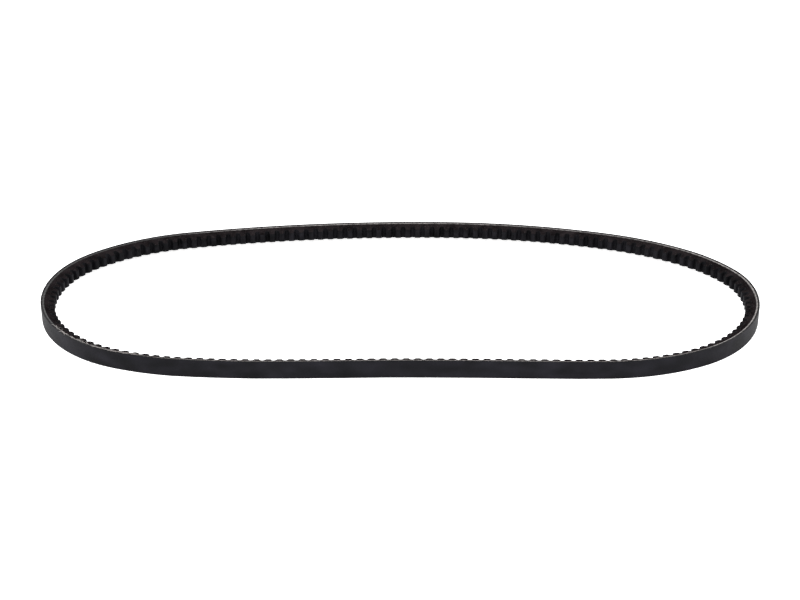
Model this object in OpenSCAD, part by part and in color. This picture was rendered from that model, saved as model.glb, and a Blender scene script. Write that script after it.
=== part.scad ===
// Raw-edge cogged V-belt: an endless laminate standing on one edge of its back,
// with the wide back outwards and the cogs inwards.

/* [Belt] */
// Length round the outside of the back
belt_length = 1035; // [1000:5:1100]
// Width across the back
top_width = 10.5; // [9:0.5:13]
// Height of the section, from the back to the cog tips
belt_height = 8; // [7.5:0.5:9]
// Angle between the two flanks
wedge_angle = 36; // [32:1:40]

/* [Plies] */
// Thickness of the canvas on the back
back_fabric_t = 0.4; // [0.3:0.1:0.5]
// Depth from the back to the top of the upper adhesion rubber
extension_bottom = 0.9; // [0.8:0.05:0.95]
// Depth from the back to the middle of the tension cord
cord_depth = 1.5; // [1.5:0.05:1.7]
// Depth from the back to the bottom of the lower adhesion rubber
adhesion_bottom = 2.2; // [2.2:0.1:2.6]
// Thickness of the canvas over the cogs
cog_fabric_t = 0.35; // [0.25:0.05:0.4]

/* [Tension cord] */
// Diameter of the cord
cord_d = 1; // [0.8:0.05:1]
// Spacing of the cord's turns across the belt
cord_pitch = 1.15; // [1.05:0.05:1.3]
// Number of turns side by side
cord_turns = 9; // [5:2:9]

/* [Cogs] */
// Distance from one cog to the next, along the cord
cog_pitch = 6.3; // [5.8:0.1:7]
// Depth of the notches between the cogs
notch_depth = 3.3; // [2.8:0.1:3.5]
// Radius at the bottom of a notch
root_r = 1.15; // [1:0.05:1.2]
// Lean of each notch wall on a straight belt
wall_lean = 12; // [8:1:13]
// Radius on the corners of a cog's tip
tip_r = 1; // [0.8:0.1:1]
// Place of the first notch after the start of the front straight, in pitches
first_notch = 0.7; // [0.1:0.1:0.9]

/* [Hidden] */
$fn = 32;
BEND_FN = 256; // facets in a full turn of a bend, fine because the bends are wide

FABRIC_COLOR = [0.17, 0.17, 0.19];
EXTENSION_COLOR = [0.13, 0.13, 0.14];
ADHESION_COLOR = [0.2, 0.19, 0.18];
CORD_COLOR = [0.6, 0.57, 0.52];
COMPRESSION_COLOR = [0.15, 0.14, 0.13];
COG_FABRIC_COLOR = [0.12, 0.12, 0.14];

// The belt's resting line, anticlockwise along the back: [radius, turn] for a bend, which bows
// inwards where turn is negative, and [length, 0] for the one straight. The three sizes at SOLVED
// only start as given: they are worked out so that the loop closes at belt_length.
RUNS = [
    [45, 0], [500, 3], [118, 27], [82, 69.5], [58, 19.5], [95, 25],
    [155, 18.5], [355, 17], [635, 15], [116, 31], [70, 30.5], [84, 83],
    [145, 16.5], [480, 6.5], [4000, 0.7], [600, -1.5], [2200, -1.2]
];
FRONT_STRAIGHT = 0;
REAR_BEND = 8;
LEFT_BEND = 11;
SOLVED = [FRONT_STRAIGHT, REAR_BEND, LEFT_BEND];
LAST = len(RUNS) - 1;

function total(list, n = 0) = n == len(list) ? list[0] * 0 : list[n] + total(list, n + 1);
function sums(list, n) = n == 0 ? list[0] * 0 : list[n - 1] + sums(list, n - 1);

turn = [for (r = RUNS) r[1]];
heading = [for (i = [0:LAST + 1]) sums(turn, i)];
side = [for (t = turn) t < 0 ? -1 : 1];

// What a stretch of size 1 adds to the position and to the length
function shift(from, to) = [sin(to) - sin(from), cos(from) - cos(to)];
step = [for (i = [0:LAST]) turn[i] == 0
    ? [cos(heading[i]), sin(heading[i]), 1]
    : concat(side[i] * shift(heading[i], heading[i + 1]), abs(turn[i]) * PI / 180)];

// Cramer's rule for the three solved sizes
function det(a, b, c) = a * cross(b, c);
given = total([for (i = [0:LAST]) i == SOLVED[0] || i == SOLVED[1] || i == SOLVED[2]
    ? [0, 0, 0] : RUNS[i][0] * step[i]]);
need = [0, 0, belt_length] - given;
s0 = step[SOLVED[0]];
s1 = step[SOLVED[1]];
s2 = step[SOLVED[2]];
whole = det(s0, s1, s2);
size = [for (i = [0:LAST])
    i == SOLVED[0] ? det(need, s1, s2) / whole
    : i == SOLVED[1] ? det(s0, need, s2) / whole
    : i == SOLVED[2] ? det(s0, s1, need) / whole
    : RUNS[i][0]];
moved = [for (i = [0:LAST]) [size[i] * step[i].x, size[i] * step[i].y]];
corner = [for (i = [0:LAST + 1]) sums(moved, i)];

// The loop reaches furthest along X and Y where its heading is a multiple of 90 degrees
extremes = [for (i = [0:LAST], q = [0:90:360])
    if ((q - heading[i]) * (q - heading[i + 1]) <= 0) corner[i] + size[i] * side[i] * shift(heading[i], q)];
xs = [for (p = extremes) p.x];
ys = [for (p = extremes) p.y];
middle = [min(xs) + max(xs), min(ys) + max(ys)] / 2;
start = [for (c = corner) c - middle];

// Cogs are spaced along the cord, which keeps its length however the belt bends
slope = tan(wedge_angle / 2);
cord_size = [for (i = [0:LAST]) turn[i] == 0 ? size[i] : size[i] - side[i] * cord_depth];
cord_run = [for (i = [0:LAST]) cord_size[i] * step[i][2]];
cord_start = [for (i = [0:LAST + 1]) sums(cord_run, i)];
cog_count = round(cord_start[LAST + 1] / cog_pitch);
pitch = cord_start[LAST + 1] / cog_count;

CLEAR = 1; // how far a cutter reaches past what it cuts
TIP_CROSSING = 20; // angle at which a corner's arc meets the cog's tip
BITE = 0.97; // share of a corner's radius at which a wall crosses its arc
root_depth = belt_height - notch_depth;
fabric_top = root_depth - CLEAR; // above the highest point of the canvas over the cogs
rubber_height = belt_height - cog_fabric_t;

// Moves by v in steps of whole, thousandth and smaller parts, so that stretches meet exactly
module exact_move(v, unit = 1) {
    part = [for (c = v) round(c / unit) * unit];
    if (unit > 1e-5)
        translate(part) exact_move(v - part, unit / 1000) children();
    else
        translate(v) children();
}

// Carries a section, drawn as [depth, height], along stretch i
module stretch(i) {
    inward = [-sin(heading[i]), cos(heading[i])];
    centre = start[i] + side[i] * size[i] * inward;
    if (turn[i] == 0)
        exact_move([start[i].x, start[i].y, 0])
            rotate([90, 0, 90]) linear_extrude(size[i]) children();
    else if (turn[i] > 0)
        exact_move([centre.x, centre.y, 0])
            rotate_extrude(start = heading[i] - 90, angle = turn[i], $fn = BEND_FN)
                exact_move([size[i], 0, 0]) mirror([1, 0]) children();
    else
        exact_move([centre.x, centre.y, 0])
            rotate_extrude(start = heading[i + 1] + 90, angle = -turn[i], $fn = BEND_FN)
                exact_move([size[i], 0, 0]) children();
}

module around() for (i = [0:LAST]) stretch(i) children();

// The wedge between two depths below the back
module wedge(top, bottom)
    polygon([
        [top, top * slope], [bottom, bottom * slope],
        [bottom, top_width - bottom * slope], [top, top_width - top * slope]
    ]);

module cord_section(n)
    translate([cord_depth, top_width / 2 + (n - (cord_turns - 1) / 2) * cord_pitch])
        circle(d = cord_d);

module cord_sections() for (n = [0:cord_turns - 1]) cord_section(n);

module cord_half(n, top, bottom)
    intersection() {
        cord_section(n);
        wedge(top, bottom);
    }

// Plan of one notch, with X along the belt and Y the depth below the back, widened by grow.
// lean is each wall's angle to Y, and every corner keeps its centre as the notch is widened.
module notch_plan(grow, lean) {
    outward = [cos(lean), -sin(lean)];
    along = [sin(lean), cos(lean)];
    root = [0, root_depth + root_r];
    tip_y = belt_height - tip_r * cos(TIP_CROSSING);
    reach = (tip_y - root.y + (root_r + tip_r) * sin(lean)) / cos(lean);
    tip = root + (root_r + tip_r) * outward + reach * along;
    wall_low = root + BITE * (root_r + grow) * outward;
    wall_high = tip - BITE * (tip_r - grow) * outward;
    mouth = tip.x - (tip_r - grow) * sin(TIP_CROSSING);
    past = belt_height + CLEAR;
    circle_at(root, root_r + grow);
    difference() {
        polygon([
            [-mouth, past], [-tip.x, tip.y], [-wall_high.x, wall_high.y], [-wall_low.x, wall_low.y],
            wall_low, wall_high, tip, [mouth, past]
        ]);
        circle_at(tip, tip_r - grow);
        circle_at([-tip.x, tip.y], tip_r - grow);
    }
}

module circle_at(p, r) translate(p) circle(r);

// Every notch right across the belt. As the belt bends, the cogs keep their shape and the
// notches close, so each wall leans less by half the bend of one pitch.
module notches(grow)
    for (i = [0:LAST]) {
        per_mm = turn[i] / cord_run[i];
        first = ceil(cord_start[i] / pitch - first_notch);
        next = ceil(cord_start[i + 1] / pitch - first_notch);
        for (n = [first:1:next - 1]) {
            run = (n + first_notch) * pitch - cord_start[i];
            at = heading[i] + run * per_mm;
            p = turn[i] == 0 ? start[i] + [run, 0]
                : start[i] + size[i] * side[i] * shift(heading[i], at);
            translate([p.x, p.y, -CLEAR]) rotate(at)
                linear_extrude(top_width + 2 * CLEAR)
                    notch_plan(grow, wall_lean - per_mm * pitch / 2);
        }
    }

module back_fabric()
    color(FABRIC_COLOR) around() wedge(0, back_fabric_t);

module extension_rubber()
    color(EXTENSION_COLOR) around() wedge(back_fabric_t, extension_bottom);

// The adhesion rubber is two sheets that meet at the middle of the cord
module upper_adhesion_rubber()
    color(ADHESION_COLOR) around() difference() {
        wedge(extension_bottom, cord_depth);
        cord_sections();
    }

// Each turn is two halves, one in each sheet, and the outermost turns are cut flush with the flanks
module tension_cord()
    color(CORD_COLOR) for (n = [0:cord_turns - 1]) around() {
        cord_half(n, extension_bottom, cord_depth);
        cord_half(n, cord_depth, adhesion_bottom);
    }

module lower_adhesion_rubber()
    color(ADHESION_COLOR) around() difference() {
        wedge(cord_depth, adhesion_bottom);
        cord_sections();
    }

module compression_rubber()
    color(COMPRESSION_COLOR) difference() {
        around() wedge(adhesion_bottom, rubber_height);
        notches(cog_fabric_t);
    }

// The canvas is what the notched wedge holds beyond the compression rubber
module cog_fabric()
    color(COG_FABRIC_COLOR) difference() {
        around() wedge(fabric_top, belt_height);
        notches(0);
        difference() {
            around() translate([fabric_top - CLEAR, -CLEAR])
                square([rubber_height - fabric_top + CLEAR, top_width + 2 * CLEAR]);
            notches(cog_fabric_t);
        }
    }

back_fabric();
extension_rubber();
upper_adhesion_rubber();
tension_cord();
lower_adhesion_rubber();
compression_rubber();
cog_fabric();
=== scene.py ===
"""A raw-edge cogged V-belt standing on one edge: its plies, its wound cord and its canvas cogs."""
import math

import bpy
import numpy as np
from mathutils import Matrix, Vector


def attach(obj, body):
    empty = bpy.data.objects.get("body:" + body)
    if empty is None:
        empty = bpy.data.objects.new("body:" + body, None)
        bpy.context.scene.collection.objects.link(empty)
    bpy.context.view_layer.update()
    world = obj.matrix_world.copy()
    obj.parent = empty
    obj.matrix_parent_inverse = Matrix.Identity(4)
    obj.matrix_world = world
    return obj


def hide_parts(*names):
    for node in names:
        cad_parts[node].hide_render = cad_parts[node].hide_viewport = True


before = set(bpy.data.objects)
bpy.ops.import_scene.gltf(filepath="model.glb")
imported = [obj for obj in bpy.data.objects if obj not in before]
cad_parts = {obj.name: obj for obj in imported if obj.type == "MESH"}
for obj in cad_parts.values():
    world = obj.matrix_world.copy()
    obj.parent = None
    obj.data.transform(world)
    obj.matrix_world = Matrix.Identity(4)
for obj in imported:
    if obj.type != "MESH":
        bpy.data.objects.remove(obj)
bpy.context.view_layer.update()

MM = 0.001
RNG = np.random.default_rng(11)

# The belt, in millimetres, as the CAD part has it
LENGTH = 1035.0
WIDTH = 10.5
HEIGHT = 8.0
HALF_WEDGE = math.radians(18)
SLOPE = math.tan(HALF_WEDGE)
CANVAS_T = 0.4
EXTENSION_END = 0.9
CORD_DEPTH = 1.5
ADHESION_END = 2.2
COG_CANVAS_T = 0.35
CORD_D = 1.0
CORD_PITCH = 1.15
CORD_TURNS = 9
COGS = 163
FIRST_NOTCH = 0.7
NOTCH_DEPTH = 3.3
ROOT_R = 1.15
TIP_R = 1.0
LEAN = 12.0
TIP_CROSSING = 20.0

# Surface detail that the CAD part leaves out, in millimetres
BACK_WEAVE = 0.8  # between threads of the back canvas
COG_WEAVE = 0.7
CUT_EDGE = 0.16  # depth at which the cut edge of the back canvas starts
PLY_ROUGH = 0.025
GROUND_ROUGH = 0.03
YARN_PLIES = 3
YARN_R = 0.27
YARN_LAY = 12  # length of one turn of the twist
YARN_PROUD = 0.05  # how far cut yarn stands out of the flank
BACK_STEP = 0.26  # spacing of mesh sections along the belt
YARN_STEP = 0.35
PLY_STEP = 0.6
SHEET_STEP = 0.9
CORE_STEP = 1.2

# The belt's resting line along its back, anticlockwise: [radius, turn] or [length, 0]
RUNS = [
    [45, 0], [500, 3], [118, 27], [82, 69.5], [58, 19.5], [95, 25],
    [155, 18.5], [355, 17], [635, 15], [116, 31], [70, 30.5], [84, 83],
    [145, 16.5], [480, 6.5], [4000, 0.7], [600, -1.5], [2200, -1.2],
]
SOLVED = [0, 8, 11]  # the sizes that close the loop at its length


class Line:
    """The resting line of the belt's back, as a chain of arcs and one straight."""

    def __init__(self):
        turn = np.array([r[1] for r in RUNS], float)
        self.heading = np.radians(np.concatenate([[0], np.cumsum(turn)]))
        self.side = np.where(turn < 0, -1.0, 1.0)
        self.straight = turn == 0
        a, b = self.heading[:-1], self.heading[1:]
        step = np.column_stack([
            self.side * (np.sin(b) - np.sin(a)), self.side * (np.cos(a) - np.cos(b)),
            np.radians(np.abs(turn)),
        ])
        step[self.straight] = np.column_stack([np.cos(a), np.sin(a), a * 0 + 1])[self.straight]
        size = np.array([r[0] for r in RUNS], float)
        size[SOLVED] = 0
        size[SOLVED] = np.linalg.solve(step[SOLVED].T, np.array([0, 0, LENGTH]) - size @ step)
        self.size = size
        moves = size[:, None] * step
        self.corner = np.vstack([[0, 0], np.cumsum(moves[:, :2], axis=0)])
        self.begin = np.concatenate([[0], np.cumsum(moves[:, 2])])
        self.bend = np.where(self.straight, 0, self.side / size)
        cord_run = moves[:, 2] * (1 - self.bend * CORD_DEPTH)
        self.cord_begin = np.concatenate([[0], np.cumsum(cord_run)])
        self.middle = np.zeros(2)
        spots = self.at(np.linspace(0, LENGTH, 20001))[0]
        self.middle = (spots.min(0) + spots.max(0)) / 2

    def stretch(self, s):
        return np.clip(np.searchsorted(self.begin, s, "right") - 1, 0, len(RUNS) - 1)

    def at(self, s):
        """Position and heading at distance s along the back."""
        s = np.mod(s, LENGTH)
        i = self.stretch(s)
        gone = s - self.begin[i]
        now = self.heading[i] + gone * self.bend[i]
        was, r = self.heading[i], np.where(self.straight[i], 1, self.side[i] * self.size[i])
        arc = r[..., None] * np.stack([np.sin(now) - np.sin(was), np.cos(was) - np.cos(now)], -1)
        run = gone[..., None] * np.stack([np.cos(was), np.sin(was)], -1)
        moved = np.where(self.straight[i][..., None], run, arc)
        return self.corner[i] + moved - self.middle, now

    def place(self, s, depth, z):
        """Points in metres at distance s, depth below the back and height z, all in millimetres."""
        s, depth, z = np.broadcast_arrays(np.asarray(s, float), depth, z)
        spot, now = self.at(s)
        inward = np.stack([-np.sin(now), np.cos(now)], -1)
        flat = spot + depth[..., None] * inward
        return np.concatenate([flat, z[..., None]], -1) * MM


LINE = Line()


def smooth_noise(shape, reach):
    """Seeded noise from -1 to 1 that wraps round, smoothed over reach cells each way."""
    spread = [np.exp(-2 * (np.pi * np.fft.fftfreq(n) * r) ** 2) for n, r in zip(shape, reach)]
    kernel = spread[0][:, None] * spread[1][None, :]
    field = np.fft.ifft2(np.fft.fft2(RNG.standard_normal(shape)) * kernel).real
    return np.clip(field / (2.2 * field.std()), -1, 1)


def quads_of(rows, columns, wrap_rows=True):
    """Quads over a grid of vertices whose columns close on themselves."""
    i = np.arange(rows if wrap_rows else rows - 1)[:, None]
    j = np.arange(columns)[None, :]
    i2, j2 = (i + 1) % rows, (j + 1) % columns
    corners = [i * columns + j, i * columns + j2, i2 * columns + j2, i2 * columns + j]
    return np.stack(corners, -1).reshape(-1, 4)


def outward(points, quads):
    """The quads, turned round if they face into the solid."""
    a, b, c, d = (points[quads[:, n]] for n in range(4))
    volume = np.einsum("ij,ij->", a, np.cross(b, c)) + np.einsum("ij,ij->", a, np.cross(c, d))
    return quads if volume > 0 else quads[:, ::-1]


def build(name, points, quads, relief, material, nodes=(), sharp=35):
    """A mesh piece that rides on the belt. relief is stored on its vertices for the material."""
    mesh = bpy.data.meshes.new(name)
    mesh.vertices.add(len(points))
    mesh.vertices.foreach_set("co", points.astype(np.float32).ravel())
    mesh.loops.add(quads.size)
    mesh.loops.foreach_set("vertex_index", quads.astype(np.int32).ravel())
    mesh.polygons.add(len(quads))
    mesh.polygons.foreach_set("loop_start", np.arange(0, quads.size, 4, dtype=np.int32))
    mesh.update(calc_edges=True)
    mesh.validate()
    mesh.polygons.foreach_set("use_smooth", np.ones(len(mesh.polygons), bool))
    mesh.set_sharp_from_angle(angle=math.radians(sharp))
    heights = mesh.attributes.new("relief", "FLOAT", "POINT")
    heights.data.foreach_set("value", relief.astype(np.float32).ravel())
    mesh.materials.append(material)
    piece = bpy.data.objects.new(name, mesh)
    bpy.context.scene.collection.objects.link(piece)
    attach(piece, "root")
    if nodes:
        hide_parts(*nodes)
    return piece


def ring(name, grid, relief, material, nodes=(), sharp=35):
    """A piece whose section grid[k] is a closed line, carried right round the belt."""
    points = grid.reshape(-1, 3)
    quads = outward(points, quads_of(*grid.shape[:2]))
    return build(name, points, quads, relief, material, nodes, sharp)


# ---- materials -------------------------------------------------------------------------------

def new_material(name):
    material = bpy.data.materials.new(name)
    material.use_nodes = True
    nodes, links = material.node_tree.nodes, material.node_tree.links
    return material, nodes, links, nodes["Principled BSDF"]


def noise(nodes, links, scale, detail=3.0, stretch=(1, 1, 1)):
    """Object-space noise whose cells are 1/scale of a metre across."""
    where = nodes.new("ShaderNodeTexCoord")
    mapping = nodes.new("ShaderNodeMapping")
    mapping.inputs["Scale"].default_value = stretch
    links.new(where.outputs["Object"], mapping.inputs["Vector"])
    texture = nodes.new("ShaderNodeTexNoise")
    texture.inputs["Scale"].default_value = scale
    texture.inputs["Detail"].default_value = detail
    links.new(mapping.outputs["Vector"], texture.inputs["Vector"])
    return texture.outputs["Fac"]


def ramp(nodes, links, value, stops):
    """A colour ramp over value; stops are (place, (red, green, blue))."""
    node = nodes.new("ShaderNodeValToRGB")
    first, last = node.color_ramp.elements[0], node.color_ramp.elements[1]
    first.position, last.position = stops[0][0], stops[-1][0]
    first.color, last.color = (*stops[0][1], 1), (*stops[-1][1], 1)
    for place, colour in stops[1:-1]:
        node.color_ramp.elements.new(place).color = (*colour, 1)
    links.new(value, node.inputs["Fac"])
    return node.outputs["Color"]


def mixed(nodes, links, a, b, share, kind="MIX"):
    node = nodes.new("ShaderNodeMix")
    node.data_type = "RGBA"
    node.blend_type = kind
    links.new(a, node.inputs["A"])
    links.new(b, node.inputs["B"])
    if isinstance(share, float):
        node.inputs["Factor"].default_value = share
    else:
        links.new(share, node.inputs["Factor"])
    return node.outputs["Result"]


def relief_of(nodes):
    node = nodes.new("ShaderNodeAttribute")
    node.attribute_name = "relief"
    return node.outputs["Fac"]


def bumped(nodes, links, shader, height, strength, distance):
    node = nodes.new("ShaderNodeBump")
    node.inputs["Strength"].default_value = strength
    node.inputs["Distance"].default_value = distance
    links.new(height, node.inputs["Height"])
    links.new(node.outputs["Normal"], shader.inputs["Normal"])


def roughened(nodes, links, shader, value, low, high):
    node = nodes.new("ShaderNodeMapRange")
    node.inputs["To Min"].default_value = low
    node.inputs["To Max"].default_value = high
    links.new(value, node.inputs["Value"])
    links.new(node.outputs["Result"], shader.inputs["Roughness"])


def laminate_material(name, low, high, mottle, rough, grain, sheen=0.0, gloss=0.12):
    """A woven or rubber surface: low in the hollows of its relief and high on its crowns, a painted
    shade in the hollows; both mottled by the shares in mottle."""
    material, nodes, links, shader = new_material(name)
    # painted shade: the relief ramp darkens the hollows and lightens the crowns
    base = ramp(nodes, links, relief_of(nodes), [(0.1, low), (0.9, high)])
    shares = [(0.3, [mottle[0]] * 3), (0.7, [mottle[1]] * 3)]
    patches = ramp(nodes, links, noise(nodes, links, 90, 4), shares)
    colour = mixed(nodes, links, base, patches, 1.0, "MULTIPLY")
    links.new(colour, shader.inputs["Base Color"])
    fine = noise(nodes, links, grain, 2)
    roughened(nodes, links, shader, fine, *rough)
    bumped(nodes, links, shader, fine, 0.3, 0.1 * MM)
    shader.inputs["Specular IOR Level"].default_value = gloss
    shader.inputs["Sheen Weight"].default_value = sheen
    shader.inputs["Sheen Roughness"].default_value = 0.45
    return material


def speckled_material(name, rubber, brown, speck, rough):
    """Ground rubber with short fibre ends showing as pale specks."""
    material, nodes, links, shader = new_material(name)
    base = ramp(nodes, links, noise(nodes, links, 140, 5), [(0.35, rubber), (0.68, brown)])
    ends = noise(nodes, links, 2600, 1)
    specks = ramp(nodes, links, ends, [(0.66, (0, 0, 0)), (0.74, (1, 1, 1))])
    pale = nodes.new("ShaderNodeRGB")
    pale.outputs[0].default_value = (*speck, 1)
    links.new(mixed(nodes, links, base, pale.outputs[0], specks), shader.inputs["Base Color"])
    fine = noise(nodes, links, 1500, 3)
    roughened(nodes, links, shader, fine, *rough)
    bumped(nodes, links, shader, fine, 0.5, 0.12 * MM)
    shader.inputs["Specular IOR Level"].default_value = 0.0
    return material


def cord_material(name, dark, pale):
    """Bare polyester cord: pale filaments, dark where rubber has wiped into the lay."""
    material, nodes, links, shader = new_material(name)
    filaments = ramp(nodes, links, relief_of(nodes), [(0.05, dark), (0.85, pale)])
    smears = noise(nodes, links, 700, 4)
    dirt = ramp(nodes, links, smears, [(0.3, (0.45, 0.43, 0.4)), (0.6, (1, 1, 1))])
    links.new(mixed(nodes, links, filaments, dirt, 1.0, "MULTIPLY"), shader.inputs["Base Color"])
    bumped(nodes, links, shader, noise(nodes, links, 5000, 1), 0.4, 0.05 * MM)
    shader.inputs["Roughness"].default_value = 0.7
    shader.inputs["Sheen Weight"].default_value = 0.2
    return material


# ---- pieces ----------------------------------------------------------------------------------

def flank_z(depth, upper):
    """Height of a flank at that depth below the back."""
    return WIDTH - depth * SLOPE if upper else depth * SLOPE


def sections(step):
    """Distances along the back, evenly spaced at about step."""
    return np.arange(0, LENGTH, LENGTH / round(LENGTH / step))


def weave(s, z, pitch):
    """Height from 0 to 1 of a plain weave laid on the bias, at about pitch between threads."""
    across = LENGTH / round(LENGTH / (pitch * math.sqrt(2)))
    u, v = (s + z) / across, (s - z) / across
    over = np.mod(np.floor(u) + np.floor(v), 2)
    return np.where(over > 0, np.abs(np.sin(np.pi * u)), np.abs(np.sin(np.pi * v)))


def edge_ease(t):
    """How far a cut canvas edge is worn back at share t of the width, from 0 to 1."""
    return np.clip(1 - np.minimum(t, 1 - t) / 0.05, 0, 1) ** 2


def back_canvas(material):
    """The canvas on the back, woven on the bias, its cut edges slightly worn."""
    s = sections(BACK_STEP)[:, None]
    across = np.linspace(0, 1, 41)[None, :]
    threads = weave(s, across * WIDTH, BACK_WEAVE)
    lumps = smooth_noise((len(s), across.size), (14, 6))
    worn = edge_ease(across) * (0.6 + 0.4 * smooth_noise((len(s), 1), (6, 1)))
    sunk = 0.05 * (1 - threads) + 0.02 * (1 + lumps) + 0.1 * worn
    outer = LINE.place(s, sunk, across * WIDTH)
    depths = np.linspace(CUT_EDGE, CANVAS_T, 3)[None, :]
    fuzz = 0.02 * smooth_noise((len(s), 3), (2, 1))
    upper = LINE.place(s, depths, flank_z(depths, True) + fuzz)
    lower = LINE.place(s, depths[:, ::-1], flank_z(depths[:, ::-1], False))
    under = np.linspace(flank_z(CANVAS_T, True), flank_z(CANVAS_T, False), 4)[None, 1:-1]
    inner = LINE.place(s, CANVAS_T, under)
    grid = np.concatenate([outer, upper, inner, lower], 1)
    relief = np.full(grid.shape[:2], 0.35)
    # weave hollows darker as painted shade; lumps and worn edges are the canvas's own tone and wear
    relief[:, :across.size] = np.clip(0.25 + 0.45 * threads + 0.35 * lumps + 0.15 * worn, 0, 1)
    return ring("back_canvas", grid, relief, material, ["back_fabric"], 50)


def extension_ply(material):
    """The ply of plain rubber under the back canvas, its cut flanks a little uneven."""
    s = sections(PLY_STEP)[:, None]
    depths = np.linspace(CANVAS_T, EXTENSION_END, 4)[None, :]
    rough = PLY_ROUGH * smooth_noise((len(s), 4), (1.5, 1))
    upper = LINE.place(s, depths, flank_z(depths, True) - 0.02 + rough)
    lower = LINE.place(s, depths[:, ::-1], flank_z(depths[:, ::-1], False) + 0.02 - rough)
    grid = np.concatenate([upper, lower], 1)
    relief = 0.5 + 0.5 * smooth_noise(grid.shape[:2], (2, 1))
    return ring("extension_ply", grid, relief, material, ["extension_rubber"])


def cord_height(n):
    return WIDTH / 2 + (n - (CORD_TURNS - 1) / 2) * CORD_PITCH


def adhesion_ply(name, far, material, node):
    """A sheet of adhesion rubber from depth far to the cord's middle, grooved for every turn."""
    s = sections(SHEET_STEP)[:, None]
    toward = 1 if far > CORD_DEPTH else -1
    angles = np.radians(np.arange(0, 181, 30))
    depth, z = [far, CORD_DEPTH], [flank_z(far, False), flank_z(CORD_DEPTH, False)]
    for n in range(CORD_TURNS):
        for angle in angles:
            d = CORD_DEPTH + toward * CORD_D / 2 * math.sin(angle)
            h = cord_height(n) - CORD_D / 2 * math.cos(angle)
            depth.append(d)
            z.append(min(max(h, flank_z(d, False)), flank_z(d, True)))
    depth += [CORD_DEPTH, far]
    z += [flank_z(CORD_DEPTH, True), flank_z(far, True)]
    grid = LINE.place(s, np.array(depth)[None, :], np.array(z)[None, :])
    relief = 0.5 + 0.5 * smooth_noise(grid.shape[:2], (2, 1))
    return ring(name, grid, relief, material, [node])


# Share of the cord that shows at the flank, as [distance along the back, share]; rubber is
# smeared over the rest
CORD_SHOWS = [
    [0, 1], [150, 1], [250, 1], [300, 0.5], [400, 0.55], [480, 0.7], [560, 0.7],
    [595, 0.3], [630, 0.03], [770, 0.03], [805, 0.45], [845, 0.6], [910, 1], [1035, 1],
]


def cord_showing(s):
    """Share of the cord that shows at distance s."""
    spots = np.array(CORD_SHOWS, float)
    return np.interp(np.mod(s, LENGTH), spots[:, 0], spots[:, 1])


def cord_share(s):
    """The same for a row of distances, uneven from one stretch to the next."""
    patchy = 1 + 0.25 * smooth_noise((len(s), 1), (12, 1))[:, 0]
    return np.clip(cord_showing(s) * patchy, 0, 1)


def twisted(n, plies, ply_r, sides, step, proud):
    """One turn of the cord as plies laid round each other, cut flush where it meets a flank."""
    s = sections(step)
    twist = 2 * np.pi * s * round(LENGTH / YARN_LAY) / LENGTH
    around = np.arange(sides) * 2 * np.pi / sides
    height = cord_height(n)
    points, quads, relief = [], [], []
    for ply in range(plies):
        phase = twist + ply * 2 * np.pi / plies
        reach = (CORD_D / 2 - ply_r) if plies > 1 else 0
        d = CORD_DEPTH + reach * np.cos(phase)[:, None] + ply_r * np.cos(around + phase[:, None])
        z = height + reach * np.sin(phase)[:, None] + ply_r * np.sin(around + phase[:, None])
        fuzz = proud * (1 + 0.5 * smooth_noise((len(s), sides), (1, 1)))
        for upper in (True, False):
            past = (z - flank_z(d, True)) if upper else (flank_z(d, False) - z)
            past = np.maximum(past * math.cos(HALF_WEDGE) - fuzz, 0)
            d = d - past * math.sin(HALF_WEDGE)
            z = z - past * math.cos(HALF_WEDGE) * (1 if upper else -1)
        grid = LINE.place(s[:, None], d, z)
        flat = grid.reshape(-1, 3)
        start = sum(len(p) for p in points)
        quads.append(outward(flat, quads_of(*grid.shape[:2])) + start)
        points.append(flat)
        yarn = 0.6 + 0.4 * smooth_noise(grid.shape[:2], (3, 1))
        relief.append((yarn * cord_share(s)[:, None]).ravel())
    return np.vstack(points), np.vstack(quads), np.concatenate(relief)


def tension_cord(material):
    """Nine turns side by side: three-ply and cut flush at the flanks, plain inside."""
    points, quads, relief = [], [], []
    for n in range(CORD_TURNS):
        if n in (0, CORD_TURNS - 1):
            made = twisted(n, YARN_PLIES, YARN_R, 9, YARN_STEP, YARN_PROUD)
        else:
            made = twisted(n, 1, CORD_D / 2, 10, CORE_STEP, 0)
        quads.append(made[1] + sum(len(p) for p in points))
        points.append(made[0])
        relief.append(made[2])
    return build("tension_cord_turns", np.vstack(points), np.vstack(quads), np.concatenate(relief),
                 material, ["tension_cord"], 60)


def notch_half(grow, lean, limit):
    """Half a notch, as distance along the belt and depth, from its root to the flat of the tip."""
    angle = math.radians(lean)
    out = np.array([math.cos(angle), -math.sin(angle)])
    along = np.array([math.sin(angle), math.cos(angle)])
    root = np.array([0, HEIGHT - NOTCH_DEPTH + ROOT_R])
    tip_y = HEIGHT - TIP_R * math.cos(math.radians(TIP_CROSSING))
    reach = (tip_y - root[1] + (ROOT_R + TIP_R) * math.sin(angle)) / math.cos(angle)
    tip = root + (ROOT_R + TIP_R) * out + reach * along
    a = np.linspace(0, math.pi / 2 - angle, 7)[:, None]
    low = root + (ROOT_R + grow) * np.hstack([np.sin(a), -np.cos(a)])
    r = TIP_R - grow
    crossing = math.acos(min((limit - tip[1]) / r, 1))
    b = np.linspace(math.pi / 2 - angle, crossing, 6)[:, None]
    high = tip + r * np.hstack([-np.sin(b), np.cos(b)])
    wall = np.linspace(low[-1], high[0], 6)[1:-1]
    return np.vstack([low, wall, high])


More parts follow.
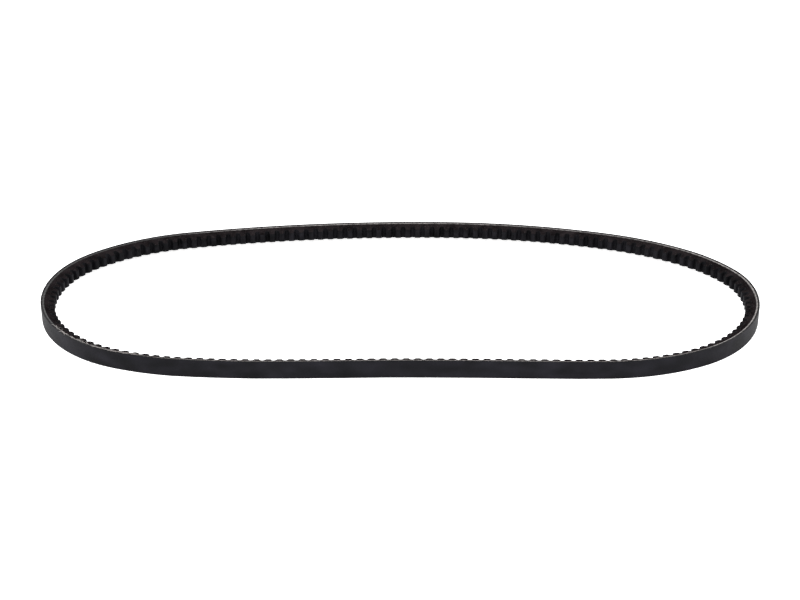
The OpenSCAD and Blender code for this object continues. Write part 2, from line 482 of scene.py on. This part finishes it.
def cog_line(grow, limit):
    """Distance along the back and depth of the cogs' outline, all the way round the belt."""
    pitch = LINE.cord_begin[-1] / COGS
    rows = []
    for n in range(COGS):
        cord = (n + FIRST_NOTCH) * pitch
        s = np.interp(cord, LINE.cord_begin, LINE.begin)
        bend = LINE.bend[LINE.stretch(s)]
        cord_bend = bend / (1 - bend * CORD_DEPTH)
        half = notch_half(grow, LEAN - math.degrees(cord_bend * pitch) / 2, limit)
        x = np.concatenate([-half[:0:-1, 0], half[:, 0]])
        depth = np.concatenate([half[:0:-1, 1], half[:, 1]])
        if bend:
            r = 1 / bend
            x, depth = r * np.arctan2(x * bend, 1 - depth * bend), r - np.sign(r) * np.hypot(x, r - depth)
        rows.append(np.column_stack([s + x, depth]))
    rows = np.array(rows)
    following = np.roll(rows[:, 0], -1, axis=0)
    following[-1, 0] += LENGTH
    share = np.linspace(0, 1, 7)[1:-1][None, :, None]
    tips = rows[:, -1][:, None] * (1 - share) + following[:, None] * share
    return np.concatenate([rows, tips], 1).reshape(-1, 2)


def compression_body(material):
    """The fibre-filled rubber wedge under the cord, with the cogs moulded in it."""
    edge = cog_line(COG_CANVAS_T, HEIGHT - COG_CANVAS_T)
    s, end = edge[:, :1], edge[:, 1:]
    share = np.linspace(0, 1, 13)[None, :]
    depth = ADHESION_END + (end - ADHESION_END) * share
    ground = GROUND_ROUGH * smooth_noise(depth.shape, (2, 1.2))
    upper = LINE.place(s, depth, flank_z(depth, True) - GROUND_ROUGH + ground)
    ground = GROUND_ROUGH * smooth_noise(depth.shape, (2, 1.2))
    lower = LINE.place(s, depth[:, ::-1], flank_z(depth[:, ::-1], False) + GROUND_ROUGH - ground)
    grid = np.concatenate([upper, lower], 1)
    relief = 0.5 + 0.5 * smooth_noise(grid.shape[:2], (3, 2))
    return ring("compression_body", grid, relief, material, ["compression_rubber"])


def cog_canvas(material):
    """The canvas moulded over the cogs: threads stand across them, puckered in the notches."""
    outer, inner = cog_line(0, HEIGHT), cog_line(COG_CANVAS_T, HEIGHT - COG_CANVAS_T)
    across = np.linspace(0, 1, 27)[None, :]
    s, depth = outer[:, :1], outer[:, 1:]
    low, high = flank_z(depth, False), flank_z(depth, True)
    z = low + (high - low) * across
    threads = weave(s + depth, z, COG_WEAVE)
    pucker = smooth_noise(z.shape, (1.2, 5))
    patches = smooth_noise(z.shape, (14, 6))
    flat = LINE.place(outer[:, 0], outer[:, 1], 0)[:, :2]
    along = np.roll(flat, -1, 0) - np.roll(flat, 1, 0)
    along /= np.linalg.norm(along, axis=1)[:, None]
    normal = np.column_stack([-along[:, 1], along[:, 0], np.zeros(len(along))])
    lift = -0.05 * (1 - threads) + 0.05 * pucker - 0.04
    skin = LINE.place(s, depth, z) + (lift * MM)[..., None] * normal[:, None, :]
    strip = np.array([0.35, 0.7, 1])[None, :]
    cut_s, cut_d = s + (inner[:, :1] - s) * strip, depth + (inner[:, 1:] - depth) * strip
    upper = LINE.place(cut_s, cut_d, flank_z(cut_d, True) + 0.02)
    lower = LINE.place(cut_s[:, ::-1], cut_d[:, ::-1], flank_z(cut_d[:, ::-1], False) - 0.02)
    grid = np.concatenate([skin, upper, lower], 1)
    relief = np.full(grid.shape[:2], 0.3)
    # hollows between threads and pucker dips darker as painted shade; patches are the canvas's own tone
    relief[:, :across.size] = np.clip(0.35 + 0.3 * threads + 0.25 * pucker + 0.25 * patches, 0, 1)
    return ring("cog_canvas", grid, relief, material, ["cog_fabric"], 45)


# Loose filaments, as [start, run, count, radius, length, lift off the flank, splay]
EVEN = [0, LENGTH, 1200, 0.04, 2.2, 0.15, 0.25]
FUZZY = [820, 340, 3400, 0.06, 2.4, 0.26, 0.08]  # the side where cut filaments stand proud
FRAYED = [778, 65, 80, 0.16, 4.5, 0.6, 0.8]  # where they are pulled out and crossed
THICK = 0.1  # radius from which a filament is a whole strand, and clean


def filament(s0, r, length, lift, splay, upper):
    """The skin of one filament that starts in the cord's cut edge and runs along it."""
    steps, sides = 7, 4
    t = np.linspace(0, 1, steps)
    run = length * RNG.uniform(0.5, 1.2) * RNG.choice([-1, 1])
    swing = RNG.uniform(-0.7, 1) * abs(run) * splay
    depth = CORD_DEPTH + RNG.uniform(-0.3, 0.3) + swing * t ** 1.3
    rise = lift * RNG.uniform(0.2, 1.0) * np.sin(np.pi * t * 0.8) + 0.05
    z = flank_z(depth, upper) + (rise if upper else -rise)
    z = np.maximum(z, r)
    taper = (r * (1 - 0.6 * t))[:, None]
    angle = np.arange(sides) * 2 * np.pi / sides
    points = LINE.place((s0 + run * t)[:, None], depth[:, None] + taper * np.cos(angle),
                        z[:, None] + taper * np.sin(angle)).reshape(-1, 3)
    body = quads_of(steps, sides, False)
    caps = np.array([[3, 2, 1, 0], [(steps - 1) * sides + k for k in range(4)]])
    return points, outward(points, np.vstack([body, caps]))


def cord_fibres(material):
    """Loose filaments pulled out of the cut cord, thick and crossed where the belt is frayed."""
    starts = [(s, kind) for kind in (EVEN, FUZZY, FRAYED)
              for s in RNG.uniform(kind[0], kind[0] + kind[1], kind[2])]
    points, quads, relief, made = [], [], [], 0
    for count, (s0, kind) in enumerate(starts):
        r = kind[3]
        skin, faces = filament(s0, *kind[3:], count % 4 != 3)
        points.append(skin)
        quads.append(faces + made)
        made += len(skin)
        shade = RNG.uniform(0.6, 1) * cord_showing(s0) if r < THICK else 1
        relief.append(np.full(len(skin), shade))
    return build("cord_fibres", np.vstack(points), np.vstack(quads), np.concatenate(relief),
                 material, (), 80)


# ---- stage, light and camera -----------------------------------------------------------------

FLOOR_HALF = 8.0
FLOOR_GLOW = 0.85  # a light table under the belt, which leaves almost no shadow
CAMERA_ELEVATION = 26.26
CAMERA_TURN = 1.24  # the belt lies turned this much clockwise, seen from above
CAMERA_DISTANCE = 0.95
CAMERA_LENS = 72.26
AIM = Vector((0.0003, -0.0077, 0.005))


def floor():
    mesh = bpy.data.meshes.new("floor")
    f = FLOOR_HALF
    mesh.from_pydata([(-f, -f, 0), (f, -f, 0), (f, f, 0), (-f, f, 0)], [], [(0, 1, 2, 3)])
    material, _, _, shader = new_material("floor_paper")
    shader.inputs["Base Color"].default_value = (0.9, 0.9, 0.9, 1)
    shader.inputs["Roughness"].default_value = 0.9
    shader.inputs["Specular IOR Level"].default_value = 0.1
    shader.inputs["Emission Color"].default_value = (1, 1, 1, 1)
    shader.inputs["Emission Strength"].default_value = FLOOR_GLOW
    mesh.materials.append(material)
    piece = bpy.data.objects.new("floor", mesh)
    bpy.context.scene.collection.objects.link(piece)


def area_light(name, place, aim, size, power):
    data = bpy.data.lights.new(name, "AREA")
    data.shape = "SQUARE"
    data.size = size
    data.energy = power
    lamp = bpy.data.objects.new(name, data)
    lamp.location = place
    lamp.rotation_euler = (Vector(aim) - Vector(place)).to_track_quat("-Z", "Y").to_euler()
    bpy.context.scene.collection.objects.link(lamp)


def light():
    world = bpy.data.worlds.new("studio")
    world.use_nodes = True
    background = world.node_tree.nodes["Background"]
    background.inputs["Color"].default_value = (1, 1, 1, 1)
    background.inputs["Strength"].default_value = 1.1
    bpy.context.scene.world = world
    area_light("key", (-0.5, -0.5, 1.3), (0, 0, 0), 0.9, 9)
    area_light("top", (0.3, 0.5, 1.4), (0, 0, 0), 1.2, 7)
    bpy.context.scene.view_settings.view_transform = "Standard"


def camera():
    data = bpy.data.cameras.new("camera")
    data.lens = CAMERA_LENS
    data.sensor_width = 36
    seer = bpy.data.objects.new("camera", data)
    up, turn = math.radians(CAMERA_ELEVATION), math.radians(CAMERA_TURN)
    back = Vector((math.sin(turn) * math.cos(up), -math.cos(turn) * math.cos(up), math.sin(up)))
    seer.location = AIM + CAMERA_DISTANCE * back
    seer.rotation_euler = (math.pi / 2 - up, 0, turn)
    bpy.context.scene.collection.objects.link(seer)
    bpy.context.scene.camera = seer


def belt():
    canvas = laminate_material("canvas_back", (0.002, 0.002, 0.003), (0.0095, 0.009, 0.0125),
                               (0.6, 1.25), (0.55, 0.75), 2200, 0.02, gloss=0.09)
    gum = laminate_material("gum", (0.004, 0.0035, 0.004), (0.013, 0.011, 0.012),
                            (0.75, 1.15), (0.5, 0.7), 1800)
    ground = speckled_material("ground_rubber", (0.0055, 0.0044, 0.0048), (0.016, 0.0128, 0.0138),
                               (0.07, 0.06, 0.06), (0.5, 0.75))
    cog = laminate_material("canvas_cog", (0.002, 0.002, 0.0025), (0.009, 0.0085, 0.0105),
                            (0.5, 1.5), (0.5, 0.7), 2000, 0.0, gloss=0.04)
    cord = cord_material("cord_yarn", (0.01, 0.009, 0.009), (0.34, 0.317, 0.31))
    back_canvas(canvas)
    extension_ply(gum)
    adhesion_ply("adhesion_outer", EXTENSION_END, gum, "upper_adhesion_rubber")
    adhesion_ply("adhesion_inner", ADHESION_END, gum, "lower_adhesion_rubber")
    tension_cord(cord)
    compression_body(ground)
    cog_canvas(cog)
    cord_fibres(cord)


floor()
light()
camera()
belt()
